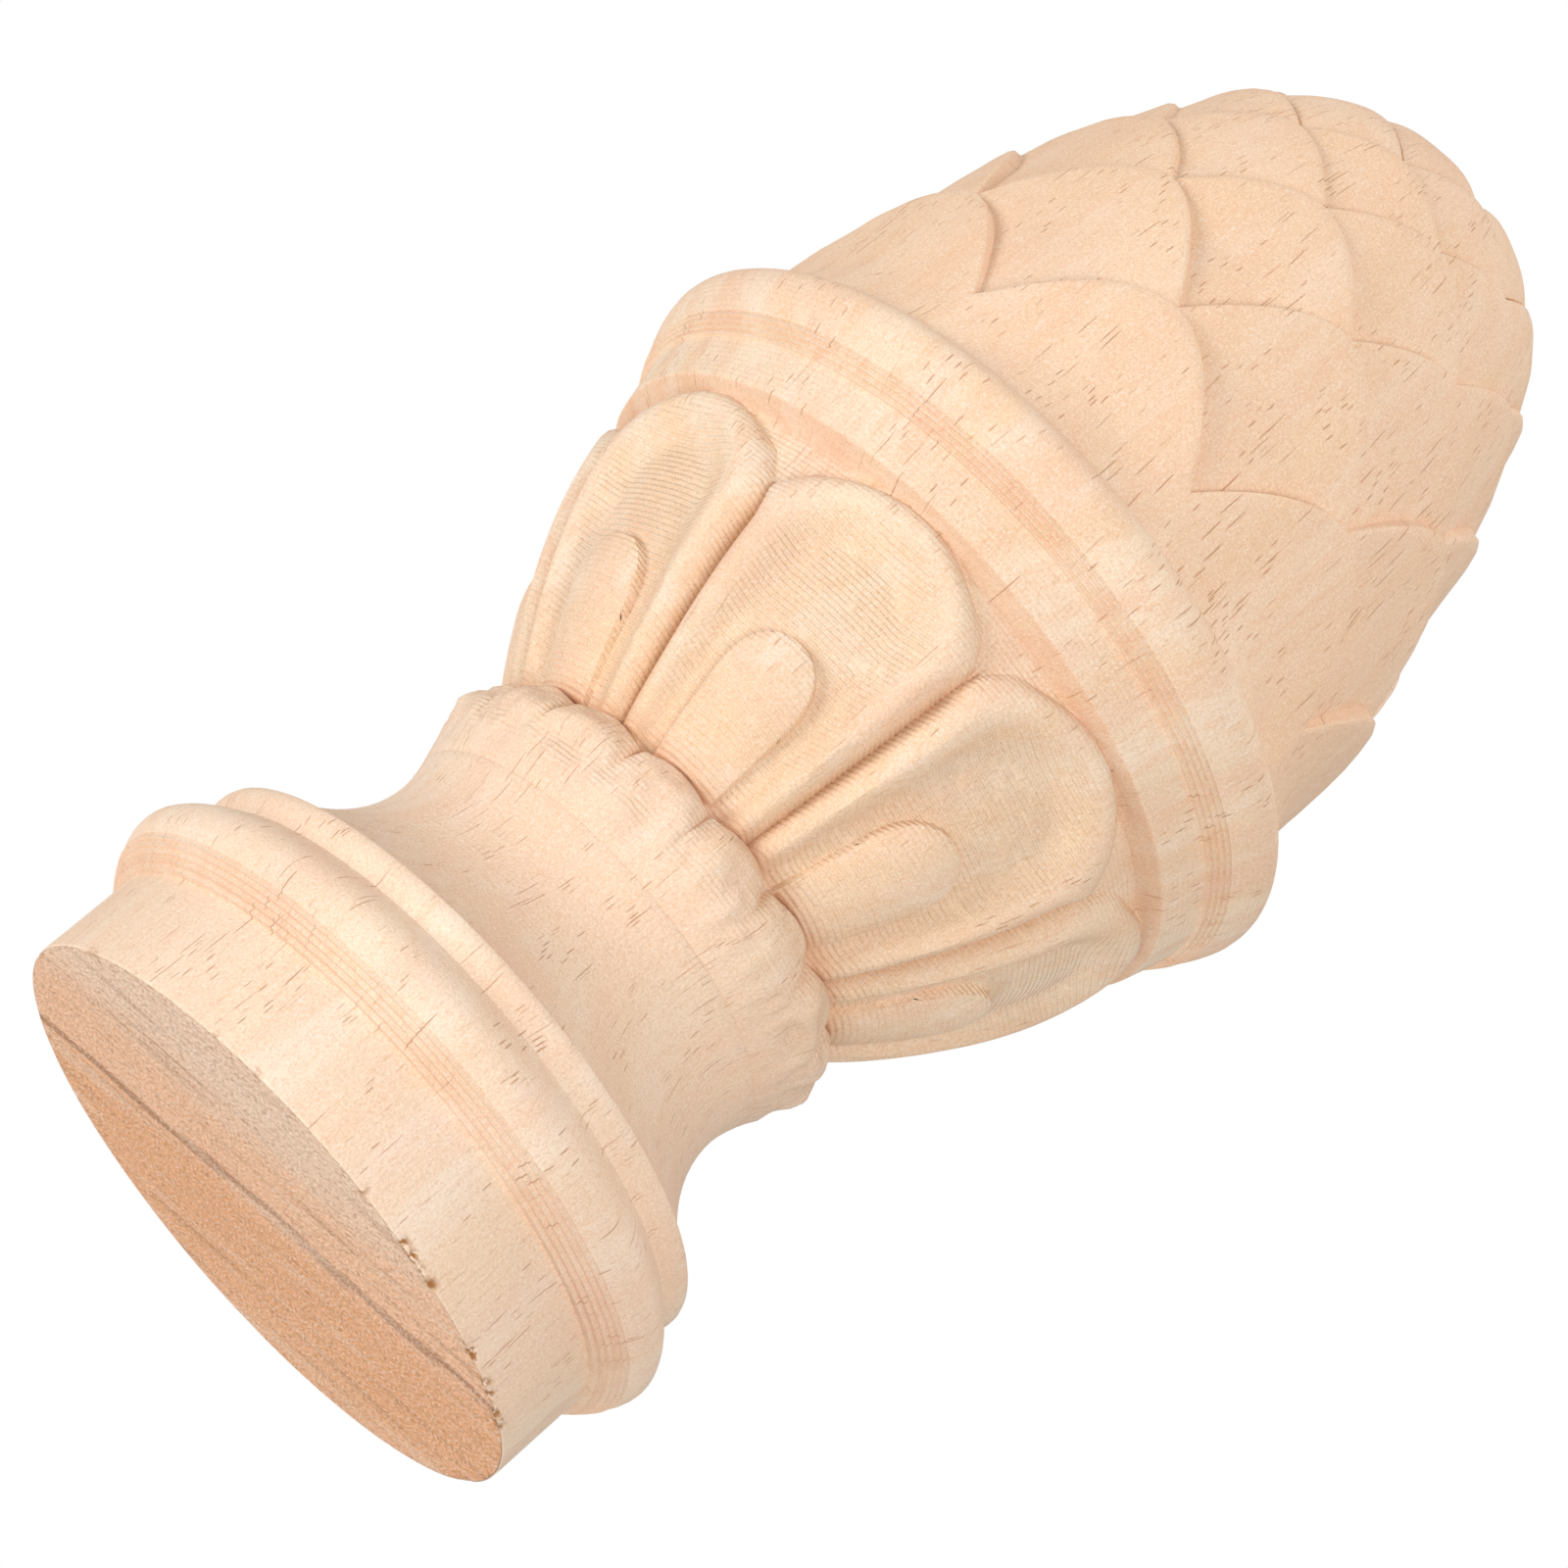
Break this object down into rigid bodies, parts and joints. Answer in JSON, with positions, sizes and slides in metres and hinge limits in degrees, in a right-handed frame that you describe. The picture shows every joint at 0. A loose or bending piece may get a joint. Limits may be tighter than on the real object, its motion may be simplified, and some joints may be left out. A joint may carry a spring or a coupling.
{
  "type": "stair finial",
  "caption": "Turned and carved wooden newel finial: moulded foot, waist with scalloped collar, petalled cup, rolled rim and a scaled pine cone on top.",
  "frame": {"origin": "centre of the flat underside of the foot", "axes": "+Z along the turning axis towards the tip of the cone; -Y is the middle of one petal"},
  "size_m": [0.1018, 0.1018, 0.2],
  "materials": {
    "wood": "bare, machine carved, unsanded"
  },
  "bodies": {
    "root": {"finial": "wood"}
  },
  "joints": []
}
